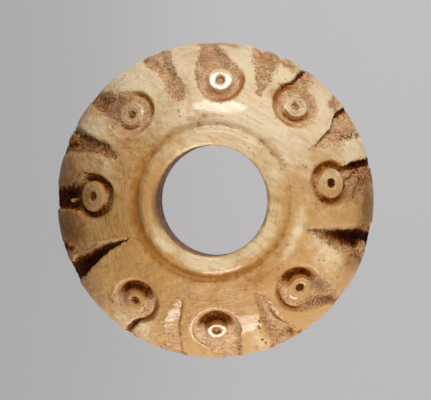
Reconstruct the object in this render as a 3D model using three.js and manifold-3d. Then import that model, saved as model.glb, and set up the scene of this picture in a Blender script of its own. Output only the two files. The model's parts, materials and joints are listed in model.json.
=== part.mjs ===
// Bone spindle whorl: a turned, domed ring of bone that weights the foot of a hand spindle.
// It lies on its flat underside with the dome up. Millimetres, +Z up, origin at the middle of the underside.
// The dome carries eight compass-drilled eyes, each a sunk ring round a boss with a dot in it.
// A knife cut opens every eye out to the rim, and a longer tapered cut stands between each two eyes.
import * as THREE from "three";
import { ConvexGeometry } from "three/addons/geometries/ConvexGeometry.js";
import { mergeVertices } from "three/addons/utils/BufferGeometryUtils.js";
import Module from "manifold-3d";

// The turned body
const rimDiameter = 25; // across the widest part of the dome
const rimHeight = 3; // of the widest part above the underside
const domeRise = 7.6; // from the widest part to where the dome would close over the bore
const undersideInset = 2.9; // of the flat underside inside the rim
const boreDiameter = 8.7; // the hole that takes the spindle's shaft
const boreFootChamfer = 0.25;
const collarWidth = 1.25; // wall of the raised collar round the bore
const collarLift = 0.3; // of the collar's face above the dome's inner lip
const collarInnerRound = 0.38;
const collarOuterRound = 0.25;
const grooveWidth = 0.85; // of the turned groove between collar and dome
const grooveDepth = 0.16; // below the dome's inner lip
const grooveFloor = [0.1, 0.45]; // where its flat floor starts and ends, as shares of its width

// The drilled eyes
const eyeRadius = 1.88; // of the whole sunk ring
const bossDrop = 0.16; // of the boss's face below the dome
const bossTaper = 0.1; // widening of the boss towards its foot
const ringDepth = 0.64; // at the foot of the boss
const ringOuterDepth = 0.44; // at the foot of the ring's outer wall
const ringWallTaper = 0.1;
const dotRadius = 0.4;
const dotFootRadius = 0.2;
const dotDepth = 0.42; // below the boss's face

// Each eye: its bearing, how far its middle is in from the rim, its boss's radius, how many degrees the drill
// leant in from square to the dome, and the cut that opens it to the rim. The cut's low and high edges at the rim
// are bearings, and deepest is where its deep line runs between them.
const eyes = [
  { bearing: 8.4, fromRim: 2.95, boss: 1.12, lean: -6, low: 10, high: 16.5, deepest: 0.75, depth: 0.75 },
  { bearing: 48.8, fromRim: 2.55, boss: 1, lean: 5, low: 52.5, high: 57.2, deepest: 0.8, depth: 0.6 },
  { bearing: 86.5, fromRim: 2.9, boss: 0.95, lean: 9, low: 83, high: 96.5, deepest: 0.7, depth: 0.5 },
  { bearing: 133.5, fromRim: 3.05, boss: 1, lean: 5, low: 133.5, high: 142, deepest: 0.4, depth: 0.55 },
  { bearing: 178, fromRim: 2.9, boss: 1.12, lean: -6, low: 172, high: 184.8, deepest: 0.75, depth: 0.95 },
  { bearing: 231.9, fromRim: 2.4, boss: 0.85, lean: 5, low: 234.2, high: 239, deepest: 0.5, depth: 0.6 },
  { bearing: 271.5, fromRim: 2.15, boss: 0.8, lean: 0, low: 268.5, high: 282, deepest: 0.65, depth: 0.45 },
  { bearing: 315, fromRim: 2.7, boss: 0.95, lean: 5, low: 317, high: 325, deepest: 0.7, depth: 0.55 },
];
const eyeCutStart = 0.55; // out from the eye's middle
const eyeCutStartWidth = 3; // across the eye, where its cut begins
const eyeCutStartDepth = 0.4;

// Each tapered cut between two eyes: the bearing and inset of its inner tip, and its edges at the rim
const tapers = [
  { tip: 27.9, fromRim: 3.83, low: 24.5, high: 37.7, deepest: 0.85, depth: 0.8 },
  { tip: 67.1, fromRim: 3.29, low: 66, high: 78.2, deepest: 0.5, depth: 0.6 },
  { tip: 107.1, fromRim: 4.2, low: 107, high: 118.1, deepest: 0.5, depth: 0.6 },
  { tip: 155.2, fromRim: 4.16, low: 152.7, high: 163.2, deepest: 0.3, depth: 0.8 },
  { tip: 204.7, fromRim: 5.3, low: 195.5, high: 210.9, deepest: 0.8, depth: 1 },
  { tip: 253.6, fromRim: 4.75, low: 247.9, high: 258.3, deepest: 0.85, depth: 0.65 },
  { tip: 296.9, fromRim: 4.56, low: 291.5, high: 303.9, deepest: 0.45, depth: 0.65 },
  { tip: 344.6, fromRim: 4.82, low: 337.8, high: 352.3, deepest: 0.8, depth: 1 },
];
const taperTipWidth = 0.5;
const cutRunOut = -25; // degrees below the rim on the lower rounding, where every cut leaves the surface
const cutEdgeShare = 0.4; // of a cut's depth, at the foot of its two upright edges
const cutLidLift = 0.9; // of a cutter's lid above the dome
const cutSwellTurn = Math.PI * 0.95; // a cut is deepest half way down and shallow at the rim

// Facets
const bodySides = 80;
const eyeSides = 20;
const domeSteps = 10;
const footSteps = 4;
const innerRoundSteps = 3;
const outerRoundSteps = 2;
const cutSteps = 4;
const sameCorner = 1e-4; // corners closer than this are one

const rimRadius = rimDiameter / 2;
const boreRadius = boreDiameter / 2;
const collarRadius = boreRadius + collarWidth;
const lipRadius = collarRadius + grooveWidth;
const innerRound = Math.min(collarInnerRound, collarWidth / 2);
const outerRound = Math.min(collarOuterRound, collarWidth / 2);
const radians = THREE.MathUtils.degToRad;

// A point on the outside of the body, by its angle round the section: 0 at the rim, 90 over the middle
// of the dome and -90 at the edge of the underside.
function flank(turn) {
  const angle = radians(turn);
  const above = turn >= 0;
  const reach = above ? rimRadius : undersideInset;
  const rise = above ? domeRise : rimHeight;
  const radius = rimRadius - reach + reach * Math.cos(angle);
  const height = rimHeight + rise * Math.sin(angle);
  const normal = new THREE.Vector2(Math.cos(angle) / reach, Math.sin(angle) / rise).normalize();
  return { radius, height, normal };
}

// The section angle of a point on the dome that is a given distance in from the rim
function turnAt(fromRim) {
  return THREE.MathUtils.radToDeg(Math.acos((rimRadius - fromRim) / rimRadius));
}

// A point on or above the flank, at a bearing round the whorl
function onFlank(turn, bearing, lift) {
  const { radius, height, normal } = flank(turn);
  const reach = radius + normal.x * lift;
  const angle = radians(bearing);
  return new THREE.Vector3(reach * Math.cos(angle), reach * Math.sin(angle), height + normal.y * lift);
}

// The points of a round of one edge, from one angle to another, ends included
function arc(radius, height, size, from, to, steps) {
  return Array.from({ length: steps + 1 }, (_, i) => {
    const angle = radians(from + ((to - from) * i) / steps);
    return new THREE.Vector2(radius + size * Math.cos(angle), height + size * Math.sin(angle));
  });
}

// The turned section: listed up the bore and down the outside, then turned round so that its faces point out
function bodyProfile() {
  const lipTurn = turnAt(rimRadius - lipRadius);
  const lipHeight = flank(lipTurn).height;
  const faceHeight = lipHeight + collarLift;
  const undersideRadius = rimRadius - undersideInset;
  const points = [
    new THREE.Vector2(boreRadius + boreFootChamfer, 0),
    new THREE.Vector2(boreRadius, boreFootChamfer),
    ...arc(boreRadius + innerRound, faceHeight - innerRound, innerRound, 180, 90, innerRoundSteps),
    ...arc(collarRadius - outerRound, faceHeight - outerRound, outerRound, 90, 0, outerRoundSteps),
    ...grooveFloor.map((share) => {
      return new THREE.Vector2(collarRadius + grooveWidth * share, lipHeight - grooveDepth);
    }),
  ];
  for (let i = 0; i <= domeSteps; i++) {
    const { radius, height } = flank(lipTurn * (1 - i / domeSteps));
    points.push(new THREE.Vector2(radius, height));
  }
  for (let i = 1; i < footSteps; i++) {
    const { radius, height } = flank((-90 * i) / footSteps);
    points.push(new THREE.Vector2(radius, height));
  }
  points.push(new THREE.Vector2(undersideRadius, 0), points[0].clone());
  return points.reverse();
}

const wasm = await Module();
wasm.setup();

// A closed three.js geometry as a solid that can be joined and cut
function solidOf(geometry) {
  geometry.deleteAttribute("normal");
  geometry.deleteAttribute("uv");
  const merged = mergeVertices(geometry, sameCorner);
  return new wasm.Manifold(
    new wasm.Mesh({
      numProp: 3,
      vertProperties: merged.attributes.position.array,
      triVerts: new Uint32Array(merged.index.array),
    }),
  );
}

// A turned solid round +Z, from a section that closes on itself or on the axis
function turned(profile, sides) {
  return new THREE.LatheGeometry(profile, sides).rotateX(Math.PI / 2);
}

// A turned shape standing on the dome at an eye, with its axis along the drill's
function drilled(profile, { bearing, fromRim, lean }) {
  const turn = turnAt(fromRim);
  const { normal } = flank(turn);
  const tilt = Math.atan2(normal.x, normal.y) - radians(lean);
  const foot = onFlank(turn, bearing, 0);
  const geometry = turned(profile, eyeSides)
    .rotateY(tilt)
    .rotateZ(radians(bearing))
    .translate(foot.x, foot.y, foot.z);
  return solidOf(geometry);
}

// The drill's own shape: dot, boss and ring, taken out of the dome in one go
function eyeCutter(eye) {
  const profile = [
    new THREE.Vector2(0, -bossDrop - dotDepth),
    new THREE.Vector2(dotFootRadius, -bossDrop - dotDepth),
    new THREE.Vector2(dotRadius, -bossDrop),
    new THREE.Vector2(eye.boss, -bossDrop),
    new THREE.Vector2(eye.boss + bossTaper, -ringDepth),
    new THREE.Vector2(eyeRadius - ringWallTaper, -ringOuterDepth),
    new THREE.Vector2(eyeRadius, 0),
    new THREE.Vector2(eyeRadius, eyeRadius),
    new THREE.Vector2(0, eyeRadius),
  ];
  return drilled(profile, eye);
}

// The boss stands up inside the cut that opens its eye, so each eye's boss is kept out of that cut
function bossKeeper(eye) {
  const profile = [
    new THREE.Vector2(0, -eyeRadius),
    new THREE.Vector2(eye.boss + bossTaper, -eyeRadius),
    new THREE.Vector2(eye.boss + bossTaper, -ringDepth),
    new THREE.Vector2(eye.boss, -bossDrop),
    new THREE.Vector2(eye.boss, eyeRadius),
    new THREE.Vector2(0, eyeRadius),
  ];
  return drilled(profile, eye);
}

// One section of a knife cut: its deep line, its two edges under the dome, and the same edges clear above it
function cutSection(turn, low, high, deepest, depth) {
  return [
    onFlank(turn, low + (high - low) * deepest, -depth),
    onFlank(turn, low, -depth * cutEdgeShare),
    onFlank(turn, high, -depth * cutEdgeShare),
    onFlank(turn, low, cutLidLift),
    onFlank(turn, high, cutLidLift),
  ];
}

// The share of its full depth that a cut has along its length, from 0 at its inner tip to 1 at the rim
function cutSwell(share) {
  return Math.sin(share * cutSwellTurn);
}

// A knife cut, as hulls between sections that run from its start down over the rim
function knifeCut(start, end) {
  const mix = THREE.MathUtils.lerp;
  const startTurn = turnAt(start.fromRim);
  const sections = [];
  for (let i = 0; i <= cutSteps; i++) {
    const share = i / cutSteps;
    const low = mix(start.low, end.low, share);
    const high = mix(start.high, end.high, share);
    const depth = Math.max(start.depth * (1 - share), end.depth * cutSwell(share));
    sections.push(cutSection(startTurn * (1 - share), low, high, end.deepest, depth));
  }
  sections.push(cutSection(cutRunOut, end.low, end.high, end.deepest, 0));
  const hulls = sections.slice(1).map((section, i) => new ConvexGeometry([...sections[i], ...section]));
  return hulls.map(solidOf).reduce((whole, hull) => whole.add(hull));
}

// How many degrees a width takes up at a distance in from the rim
function widthInDegrees(width, fromRim) {
  return THREE.MathUtils.radToDeg(width / (rimRadius - fromRim));
}

function eyeCut(eye) {
  const fromRim = eye.fromRim - eyeCutStart;
  const half = widthInDegrees(eyeCutStartWidth, fromRim) / 2;
  const start = { fromRim, low: eye.bearing - half, high: eye.bearing + half, depth: eyeCutStartDepth };
  return knifeCut(start, eye);
}

function taperCut(taper) {
  const half = widthInDegrees(taperTipWidth, taper.fromRim) / 2;
  const start = { fromRim: taper.fromRim, low: taper.tip - half, high: taper.tip + half, depth: 0 };
  return knifeCut(start, taper);
}

function whorlGeometry() {
  let body = solidOf(turned(bodyProfile(), bodySides));
  for (const eye of eyes) {
    const opening = eyeCut(eye).subtract(bossKeeper(eye));
    body = body.subtract(opening).subtract(eyeCutter(eye));
  }
  for (const taper of tapers) body = body.subtract(taperCut(taper));
  const { vertProperties, triVerts } = body.getMesh();
  return new THREE.BufferGeometry()
    .setAttribute("position", new THREE.BufferAttribute(vertProperties, 3))
    .setIndex(new THREE.BufferAttribute(triVerts, 1));
}

const bone = new THREE.MeshStandardMaterial({ color: 0xd8bd8c, roughness: 0.35, metalness: 0 });

const whorl = new THREE.Mesh(whorlGeometry(), bone);
whorl.name = "spindle_whorl";

const spindleWhorl = new THREE.Group();
spindleWhorl.add(whorl);

export default spindleWhorl;
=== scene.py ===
# Bone spindle whorl: its carved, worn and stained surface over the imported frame, with camera and studio light
import json
import math

import bmesh
import bpy
import numpy as np
from mathutils import Matrix, Vector, noise

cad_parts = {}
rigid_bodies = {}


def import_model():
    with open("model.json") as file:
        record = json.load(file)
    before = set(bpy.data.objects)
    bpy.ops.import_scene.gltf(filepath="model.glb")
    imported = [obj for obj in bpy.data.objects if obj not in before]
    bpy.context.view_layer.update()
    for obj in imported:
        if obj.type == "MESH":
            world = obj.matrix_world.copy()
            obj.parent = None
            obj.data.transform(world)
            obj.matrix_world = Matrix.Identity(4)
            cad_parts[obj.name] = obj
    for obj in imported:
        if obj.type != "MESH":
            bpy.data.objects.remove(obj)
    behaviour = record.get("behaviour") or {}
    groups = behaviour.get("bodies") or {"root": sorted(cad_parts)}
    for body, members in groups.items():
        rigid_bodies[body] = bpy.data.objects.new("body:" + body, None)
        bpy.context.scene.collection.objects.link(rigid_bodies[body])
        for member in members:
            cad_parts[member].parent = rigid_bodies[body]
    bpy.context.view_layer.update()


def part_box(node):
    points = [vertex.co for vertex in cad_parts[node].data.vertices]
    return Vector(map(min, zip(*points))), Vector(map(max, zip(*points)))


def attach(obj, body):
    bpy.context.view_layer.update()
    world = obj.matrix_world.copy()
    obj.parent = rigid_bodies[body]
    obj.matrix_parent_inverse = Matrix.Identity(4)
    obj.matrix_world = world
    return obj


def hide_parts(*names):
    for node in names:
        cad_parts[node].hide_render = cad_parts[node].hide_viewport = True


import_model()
mm = 0.001
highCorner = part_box("spindle_whorl")[1]

# The turned body, in millimetres. Its width and height come from the frame.
whorl = {
    "rimRadius": highCorner.x / mm,
    "height": highCorner.z / mm,
    "rimHeight": 3.0,
    "undersideInset": 2.9,
    "boreRadius": 4.35,
    "boreChamfer": 0.25,
    "collarWidth": 1.25,
    "collarLift": 0.3,
    "collarInnerRound": 0.34,
    "collarEdge": (-0.3, 0.36),  # where the collar's outer edge starts to fall and where it meets the groove
    "grooveWidth": 0.85,
    "grooveDepth": 0.05,
    "segments": 380,
    "domeStep": 0.168,
    "fineStep": 0.1,
    "coarseStep": 0.75,
    "refineAbove": (0.06, 0.13),  # depth steps between neighbouring points that call for finer faces
    "wander": 0.035,  # how far the turned surface strays from true
    "wanderSize": 5,
    "weld": 1e-4,  # points closer than this are one
}

collarRadius = whorl["boreRadius"] + whorl["collarWidth"]
lipRadius = collarRadius + whorl["grooveWidth"]
lipHeight = whorl["height"] - whorl["collarLift"]
lipTurn = math.acos(lipRadius / whorl["rimRadius"])
domeRise = (lipHeight - whorl["rimHeight"]) / math.sin(lipTurn)


def smoothStep(value, low, high):
    share = np.clip((value - low) / (high - low), 0, 1)
    return share * share * (3 - 2 * share)


def along(start, end, step):
    # points from start up to but not including end
    count = max(1, round(math.dist(start, end) / step))
    return [tuple(a + (b - a) * i / count for a, b in zip(start, end)) for i in range(count)]


def arc(centre, size, fromTurn, toTurn, step):
    # points of an elliptical arc, without its last one
    length = abs(toTurn - fromTurn) * (size[0] + size[1]) / 2
    count = max(2, round(length / step))
    turns = [fromTurn + (toTurn - fromTurn) * i / count for i in range(count)]
    return [(centre[0] + size[0] * math.cos(t), centre[1] + size[1] * math.sin(t)) for t in turns]


def collarEdge(start, end, step):
    # falls from start to end, level at both
    wide, fall = end[0] - start[0], end[1] - start[1]
    count = round(wide / step)
    shares = [i / count for i in range(count)]
    return [(start[0] + wide * s, start[1] + fall * s * s * (3 - 2 * s)) for s in shares]


def grooveFloor(start, end, step):
    # level at the collar's foot, and flowing into the dome at its outer end
    wide, rise = end[0] - start[0], end[1] - start[1]
    endSlope = -domeRise / whorl["rimRadius"] / math.tan(lipTurn) * wide
    count = round(wide / step)
    shares = [i / count for i in range(count)]
    return [(start[0] + wide * s, start[1] + rise * s * s * (3 - 2 * s) + endSlope * (s ** 3 - s * s))
            for s in shares]


def bodySection():
    # the outline that is turned: up the bore, over the collar, the groove and the dome, and back underneath
    bore, chamfer = whorl["boreRadius"], whorl["boreChamfer"]
    inner, top = whorl["collarInnerRound"], whorl["height"]
    fine, plain, coarse = whorl["fineStep"], whorl["domeStep"], whorl["coarseStep"]
    edge, foot = (collarRadius + shift for shift in whorl["collarEdge"])
    grooveHeight = lipHeight - whorl["grooveDepth"]
    rim, rimHeight, inset = whorl["rimRadius"], whorl["rimHeight"], whorl["undersideInset"]
    quarter = math.pi / 2
    points = along((bore + chamfer, 0), (bore, chamfer), fine)
    points += along((bore, chamfer), (bore, top - inner), coarse)
    points += arc((bore + inner, top - inner), (inner, inner), 2 * quarter, quarter, fine)
    points += along((bore + inner, top), (edge, top), plain)
    points += collarEdge((edge, top), (foot, grooveHeight), fine)
    points += grooveFloor((foot, grooveHeight), (lipRadius, lipHeight), fine)
    points += arc((0, rimHeight), (rim, domeRise), lipTurn, 0, plain)
    points += arc((rim - inset, rimHeight), (inset, rimHeight), 0, -quarter, 2 * plain)
    points += along((rim - inset, 0), (bore + chamfer, 0), coarse)
    return points


def outside(points):
    # where each point is: its bearing, its angle round the section, its radius and the outward normal
    radius = np.hypot(points[:, 0], points[:, 1])
    height = points[:, 2] - whorl["rimHeight"]
    bearing = np.degrees(np.arctan2(points[:, 1], points[:, 0])) % 360
    above = height >= 0
    centre = np.where(above, 0, whorl["rimRadius"] - whorl["undersideInset"])
    reach = np.where(above, whorl["rimRadius"], whorl["undersideInset"])
    rise = np.where(above, domeRise, whorl["rimHeight"])
    turn = np.degrees(np.arctan2(height / rise, (radius - centre) / reach))
    flat = np.cos(np.radians(turn)) / reach
    steep = np.sin(np.radians(turn)) / rise
    length = np.hypot(flat, steep)
    around = np.radians(bearing)
    normal = np.stack([flat * np.cos(around), flat * np.sin(around), steep], axis=1) / length[:, None]
    # from the lip down to just above the underside, with a little slack so that the lip itself counts
    onFlank = (radius >= lipRadius - 0.01) & (turn > -89) & (turn <= math.degrees(lipTurn) + 0.1)
    return {"bearing": bearing, "turn": turn, "radius": radius, "normal": normal, "onFlank": onFlank}


def turnAt(fromRim):
    return math.degrees(math.acos((whorl["rimRadius"] - fromRim) / whorl["rimRadius"]))


def onDome(fromRim, bearing):
    turn, around = math.radians(turnAt(fromRim)), math.radians(bearing)
    radius = whorl["rimRadius"] * math.cos(turn)
    height = whorl["rimHeight"] + domeRise * math.sin(turn)
    return np.array([radius * math.cos(around), radius * math.sin(around), height])


def apart(bearing, other):
    # signed angle from other to bearing, in degrees
    return (bearing - other + 180) % 360 - 180


def grain(points, scale, seed):
    # smooth noise of about -1 to 1, with features of that size in millimetres
    shift = Vector((seed * 7.3, seed * 3.1, seed * 5.7))
    return np.array([noise.noise(Vector(p) / scale + shift) for p in points])


# Each drilled eye, with the degrees that the drill leant in, how far its ring reaches past the round towards
# the bore, and how clean its boss and its dot are. A trench is a deep stretch of the ring, darkened by dirt
# and by painted shade where its walls turn away from the lamps. Its direction runs round the eye, 0
# counter-clockwise along the rim and 90 out to the rim, then come its half spread, inner and outer radius,
# extra depth, dirt and painted shade, and amber.
eyes = {
    "east": {
        "bearing": 8.4, "fromRim": 2.95, "lean": -6, "boss": 1.14, "ring": 1.84, "reach": 0.24, "dot": 0.5,
        "floor": 0.28, "polish": 0.9, "dotDirt": 0.85, "dotAmber": 0.3,
        "trenches": [
            (180, 50, 1.18, 1.74, 0.3, 0.36, 0.9), (-4, 56, 1.2, 1.8, 0.3, 0.42, 1),
            (262, 60, 1.35, 1.7, 0.12, 0.3, 0.5),
        ],
    },
    "northEast": {
        "bearing": 48.8, "fromRim": 2.55, "lean": 5, "boss": 0.96, "ring": 1.9, "reach": 0.1, "dot": 0.38,
        "floor": 0.28, "polish": 0.45, "dotDirt": 0.34, "dotAmber": 0.6,
        "trenches": [
            (228, 62, 1, 1.3, 0.24, 0.42, 0.8), (8, 40, 1.55, 1.92, 0.25, 0.26, 1),
            (300, 60, 1.6, 1.88, 0.08, 0.24, 0.5),
        ],
    },
    "north": {
        "bearing": 86.5, "fromRim": 2.9, "lean": 11, "boss": 0.95, "ring": 1.88, "reach": 0.18, "dot": 0.42,
        "floor": 0.36, "polish": 1, "dotDirt": 0.2, "dotAmber": 0.9,
        "trenches": [(262, 60, 0.95, 1.25, 0.08, 0.12, 0.4), (215, 60, 1.6, 1.85, 0.08, 0.16, 0.9)],
    },
    "northWest": {
        "bearing": 133.5, "fromRim": 3.1, "lean": 5, "boss": 1, "ring": 1.95, "reach": 0, "dot": 0.42,
        "floor": 0.24, "polish": 0.3, "dotDirt": 0.34, "dotAmber": 0.6,
        "trenches": [
            (180, 50, 1.6, 1.93, 0.2, 0.35, 0.9), (-46, 34, 1, 1.3, 0.2, 0.45, 0.4),
            (250, 45, 1.65, 1.93, 0.1, 0.3, 0.4),
        ],
    },
    "west": {
        "bearing": 178, "fromRim": 2.9, "lean": -6, "boss": 1.14, "ring": 1.87, "reach": 0.34, "dot": 0.52,
        "floor": 0.34, "polish": 0.5, "dotDirt": 0.5, "dotAmber": 0.8,
        "trenches": [
            (200, 52, 1.14, 1.8, 0.3, 0.44, 0.6), (262, 34, 1.4, 1.8, 0.2, 0.44, 0.4),
            (2, 58, 1.18, 1.86, 0.3, 0.5, 0.5),
        ],
    },
    "southWest": {
        "bearing": 231.9, "fromRim": 2.4, "lean": 5, "boss": 0.86, "ring": 1.88, "reach": 0.36, "dot": 0.44,
        "floor": 0.24, "polish": 0.6, "dotDirt": 0.5, "dotAmber": 0.9,
        "trenches": [(236, 60, 0.86, 1.62, 0.34, 0.56, 0.9), (0, 40, 1.66, 1.94, 0.22, 0.18, 1)],
    },
    "south": {
        "bearing": 271.5, "fromRim": 2.15, "lean": 0, "boss": 0.8, "ring": 1.9, "reach": 0.38, "dot": 0.42,
        "floor": 0.3, "polish": 1, "dotDirt": 0.2, "dotAmber": 1,
        "trenches": [(266, 58, 0.78, 1.62, 0.34, 0.6, 1)],
    },
    "southEast": {
        "bearing": 315, "fromRim": 2.7, "lean": 5, "boss": 0.98, "ring": 1.88, "reach": 0.4, "dot": 0.45,
        "floor": 0.26, "polish": 0.7, "dotDirt": 0.62, "dotAmber": 0.7,
        "trenches": [(176, 48, 1.66, 1.92, 0.26, 0.42, 1), (-50, 58, 0.98, 1.62, 0.32, 0.56, 1)],
    },
}

# What the drilled eyes share, in millimetres
drill = {
    "bossDrop": 0.13,
    "bossRound": 0.07,  # how much lower the edges of a worn boss are than its crown
    "bossUneven": 0.05,
    "bossGrain": 0.6,  # how rough an unpolished boss looks
    "bossEdge": 0.03,  # how far inside its radius a boss starts to fall
    "dotDepth": 0.3,
    "dotFoot": 0.5,  # the floor of a dot, as a share of its radius
    "wall": 0.18,  # how wide the slopes of the ring and of the boss are
    "rough": 0.025,
    "deepest": 2,  # an eye changes nothing further below its middle than this
    "margin": 0.4,  # an eye changes nothing further than this from its ring
    "speckReach": 0.35,  # specks gather this far round the ring
    "specks": 0.5,
    "ragged": 0.035,
    "fineWithin": 0.5,  # the faces are finest this near a dot
    "circleStep": 0.27,
    "circleDepth": 0.014,
}

# How softly a trench ends, in degrees past and short of its spread. Then, for its depth, its dirt and painted
# shade, and its amber, how far from the inner and the outer radius each edge starts and ends.
trench = {
    "ends": (24, -16),
    "carved": ((-0.06, 0.12), (0.14, -0.16)),
    "dirtyAndShaded": ((-0.02, 0.16), (0.1, -0.24)),
    "honeyed": ((-0.1, 0), (0.16, -0.02)),
}
farAway = 9.0  # further from any dot than matters, in millimetres


def eyeFrame(eye):
    centre = onDome(eye["fromRim"], eye["bearing"])
    turn, around = math.radians(turnAt(eye["fromRim"])), math.radians(eye["bearing"])
    square = math.atan2(math.cos(turn) / whorl["rimRadius"], math.sin(turn) / domeRise)
    tilt = square - math.radians(eye["lean"])
    axis = np.array([math.sin(tilt) * math.cos(around), math.sin(tilt) * math.sin(around), math.cos(tilt)])
    side = np.array([-math.sin(around), math.cos(around), 0])
    return centre, axis, side, np.cross(side, axis)


def trenchBand(away, around, inner, outer, softness):
    # 1 between the two radii, with soft edges
    foot, wall = softness
    rise = smoothStep(away, inner + foot[0], inner + foot[1])
    return rise * smoothStep(around, outer + wall[0], outer + wall[1])


def carveEye(eye, points, place, noises, found):
    fine, broad, wobble = noises
    centre, axis, side, outward = eyeFrame(eye)
    offset = points - centre
    across, out, above = offset @ side, offset @ outward, offset @ axis
    away = np.hypot(across, out)
    # the ring reaches further on the side of the bore
    around = np.hypot(across, np.where(out < 0, out * eye["ring"] / (eye["ring"] + eye["reach"]), out))
    close = place["onFlank"] & (around < eye["ring"] + drill["margin"]) & (above > -drill["deepest"])
    direction = np.degrees(np.arctan2(out, across))
    ringMask = smoothStep(around + wobble, eye["ring"] + drill["wall"] / 2, eye["ring"] - drill["wall"])
    floor = eye["floor"] + drill["rough"] * (fine + 0.5 * broad)
    dirtAndShadeHere, amberHere = np.zeros(len(points)), np.zeros(len(points))
    for turned, spread, inner, outer, extra, dark, honey in eye["trenches"]:
        part = smoothStep(np.abs(apart(direction, turned)), *(spread + end for end in trench["ends"]))
        carved, dirtyAndShaded, honeyed = (part * trenchBand(away, around, inner, outer, trench[kind])
                                  for kind in ("carved", "dirtyAndShaded", "honeyed"))
        floor = floor + extra * carved
        dirtAndShadeHere = np.maximum(dirtAndShadeHere, dark * dirtyAndShaded)
        amberHere = np.maximum(amberHere, honey * honeyed)
    # a worn boss is rounder than a polished one, and amber fills up a dot
    middle, half = (eye["boss"] + eye["dot"]) / 2, (eye["boss"] - eye["dot"]) / 2
    rounded = drill["bossRound"] * (1.2 - eye["polish"])
    crown = drill["bossDrop"] + rounded * ((away - middle) / half) ** 2
    crown = crown + (1 - eye["polish"]) * drill["bossUneven"] * fine
    crown = np.where(away < middle, np.minimum(crown, drill["bossDrop"] + rounded), crown)
    pit = smoothStep(away, eye["dot"], eye["dot"] * drill["dotFoot"])
    crown = crown + pit * drill["dotDepth"] * (1.1 - 0.6 * eye["dotAmber"])
    bossMask = smoothStep(away + 0.5 * wobble, eye["boss"] + drill["wall"], eye["boss"] - drill["bossEdge"])
    tilt = np.maximum(place["normal"] @ axis, 0.5)
    ringAt = np.clip(above + floor, 0, None) / tilt * ringMask
    bossAt = np.clip(above + crown, 0, None) / tilt
    carved = np.maximum(found["depth"], ringAt) * (1 - bossMask) + bossAt * bossMask
    found["depth"] = np.where(close, carved, found["depth"])
    inRing, onBoss = ringMask * (1 - bossMask) * close, bossMask * close
    bossGrain = onBoss * (1 - eye["polish"]) * drill["bossGrain"]
    found["rough"] = np.maximum(found["rough"], inRing) * (1 - onBoss) + bossGrain
    found["dirt"] = np.maximum(found["dirt"], dirtAndShadeHere * close) * (1 - onBoss) + pit * onBoss * eye["dotDirt"]
    keptAmber = np.maximum(found["amber"] * (1 - onBoss), amberHere * close)
    found["amber"] = keptAmber + pit * onBoss * eye["dotAmber"]
    found["boss"] = np.maximum(found["boss"], onBoss)
    found["fromDot"] = np.minimum(found["fromDot"], np.where(close, away, farAway))
    specks = smoothStep(around, eye["ring"] + drill["speckReach"], eye["ring"]) * close * drill["specks"]
    found["specks"] = np.maximum(found["specks"], specks) * (1 - onBoss * eye["polish"])
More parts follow.
